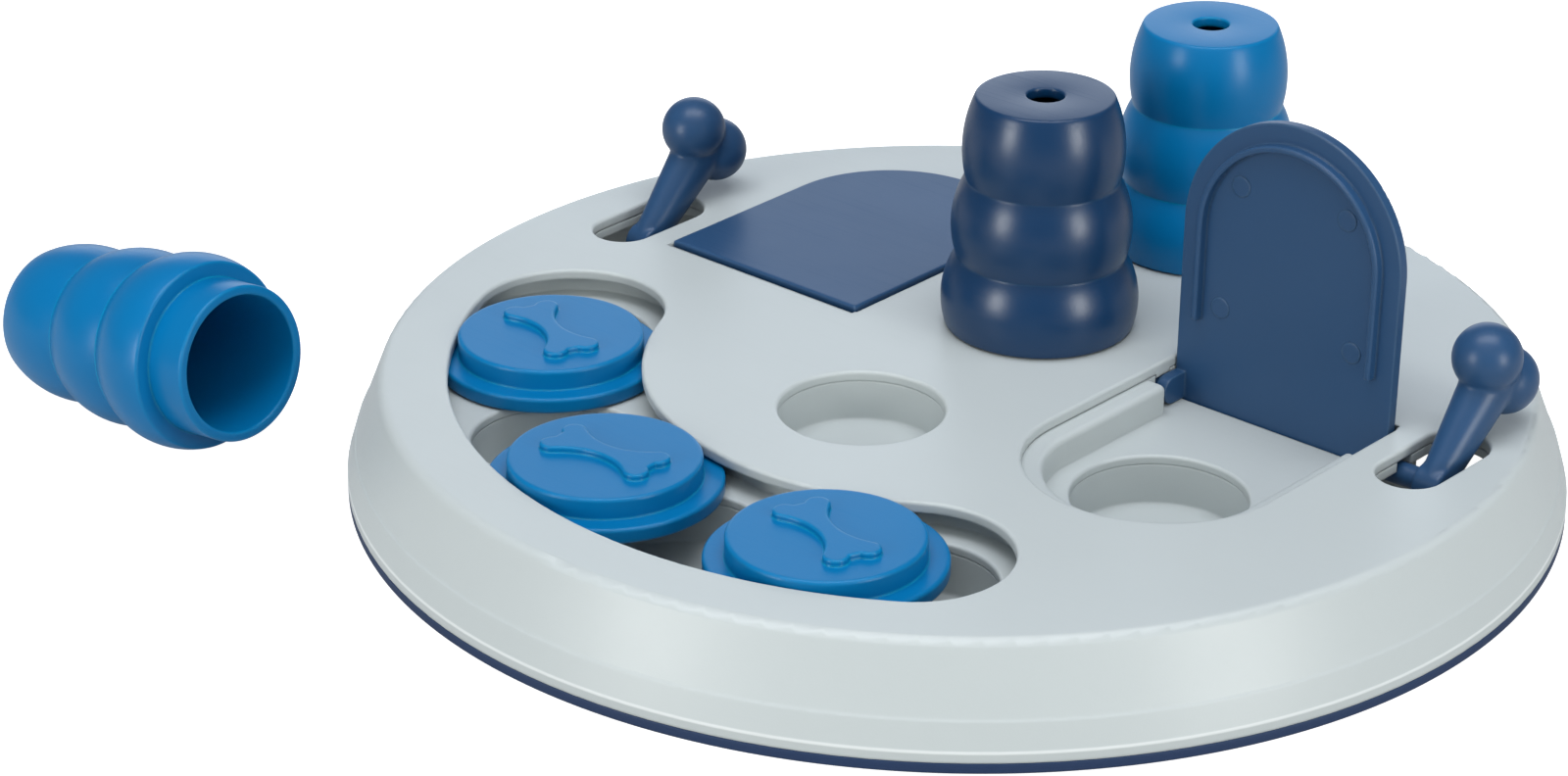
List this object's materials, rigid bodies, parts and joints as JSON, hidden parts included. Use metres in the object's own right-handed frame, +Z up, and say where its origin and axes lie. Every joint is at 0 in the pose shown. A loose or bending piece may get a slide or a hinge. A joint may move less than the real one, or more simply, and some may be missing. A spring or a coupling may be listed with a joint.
{
  "type": "dog puzzle feeder toy",
  "caption": "Round puzzle feeder board with sliding lidded track, lever-operated hinged flaps and hollow ringed cones that lift off to uncover treats.",
  "frame": {"origin": "centre of the grip ring's resting face", "axes": "+Z up out of the board; +Y along the row of cone wells towards the outermost one; the left flap and its lever are at -X"},
  "size_m": [0.2718, 0.23, 0.0747],
  "materials": {
    "cover_plastic": "satin",
    "grip_rubber": "matt",
    "screw_steel": "bright zinc",
    "blue_plastic": "satin gloss",
    "navy_plastic": "satin gloss"
  },
  "bodies": {
    "board": {"top_cover": "cover_plastic", "cone_wells": "cover_plastic", "tray_deck": "cover_plastic", "tray_skirt": "cover_plastic", "disc_channel": "cover_plastic", "treat_wells": "cover_plastic", "left_pan": "cover_plastic", "left_pan_cup": "cover_plastic", "right_pan": "cover_plastic", "right_pan_cup": "cover_plastic", "grip_ring": "grip_rubber", "cover_screws": "screw_steel"},
    "upper_disc": {"upper_slider": "blue_plastic"},
    "middle_disc": {"middle_slider": "blue_plastic"},
    "lower_disc": {"lower_slider": "blue_plastic"},
    "navy_cup": {"navy_cone": "navy_plastic"},
    "blue_cup": {"blue_cone": "blue_plastic"},
    "loose_cup": {"loose_blue_cone": "blue_plastic"},
    "left_flap_body": {"left_flap": "navy_plastic", "left_lever": "navy_plastic"},
    "right_flap_body": {"right_flap": "navy_plastic", "right_lever": "navy_plastic"}
  },
  "joints": [
    {"name": "left_flap_hinge", "type": "hinge", "parent": "board", "child": "left_flap_body", "pos_m": [-0.05339, 0.0099, 0.0168], "axis": [1, 0, 0], "range_deg": [0, 91]},
    {"name": "right_flap_hinge", "type": "hinge", "parent": "board", "child": "right_flap_body", "pos_m": [0.05339, 0.02631, 0.0168], "axis": [-1, 0, 0], "range_deg": [-91, 0]},
    {"name": "upper_disc_slide", "type": "hinge", "parent": "board", "child": "upper_disc", "pos_m": [0, 0, 0.0178], "axis": [0, 0, 1], "range_deg": [-10.4, 0]},
    {"name": "middle_disc_slide", "type": "hinge", "parent": "board", "child": "middle_disc", "pos_m": [0, 0, 0.0178], "axis": [0, 0, 1], "range_deg": [-8.1, 4.8]},
    {"name": "lower_disc_slide", "type": "hinge", "parent": "board", "child": "lower_disc", "pos_m": [0, 0, 0.0178], "axis": [0, 0, 1], "range_deg": [0, 10.9]},
    {"name": "navy_cone_lift", "type": "slide", "parent": "board", "child": "navy_cup", "axis": [0, 0, 1], "range_m": [0, 0.06]},
    {"name": "blue_cone_lift", "type": "slide", "parent": "board", "child": "blue_cup", "axis": [0, 0, 1], "range_m": [0, 0.06]},
    {"name": "loose_cone_lift", "type": "slide", "parent": "board", "child": "loose_cup", "axis": [0, 0, 1], "range_m": [0, 0.06]}
  ]
}
